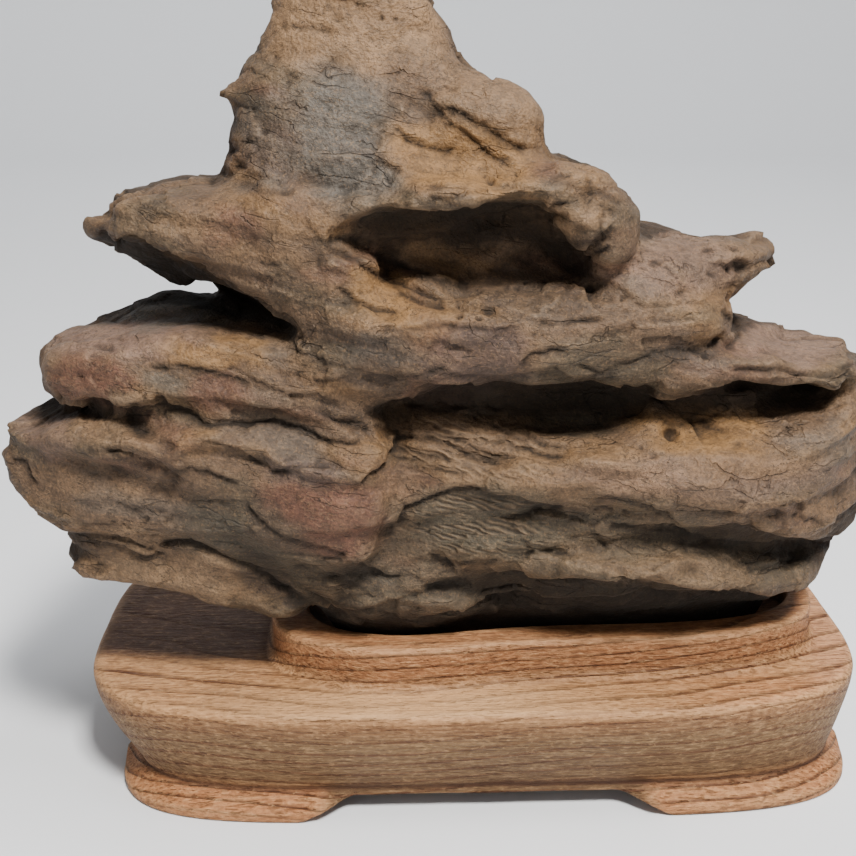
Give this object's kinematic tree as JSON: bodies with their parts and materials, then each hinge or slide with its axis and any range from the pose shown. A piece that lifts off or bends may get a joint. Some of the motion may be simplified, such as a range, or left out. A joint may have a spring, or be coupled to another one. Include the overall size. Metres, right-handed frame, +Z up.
{
  "type": "viewing stone on stand",
  "caption": "A bedded brown viewing stone shaped like a craggy mountain, resting in the raised seat of a low carved wooden stand with flared corner feet",
  "frame": {"origin": "The middle of the pair's bounding box in X and Y, on the table: Z is 0 at the soles of the stand's feet", "axes": "+X is to the viewer's right along the stand's length, +Y points away from the viewer, +Z is up; the stone's shown face looks towards -Y"},
  "size_m": [0.2334, 0.1076, 0.2225],
  "materials": {
    "brown_sandstone": "matte",
    "oiled_hardwood": "satin"
  },
  "bodies": {
    "root": {"viewing_stone": "brown_sandstone", "wooden_stand": "oiled_hardwood"}
  },
  "joints": []
}
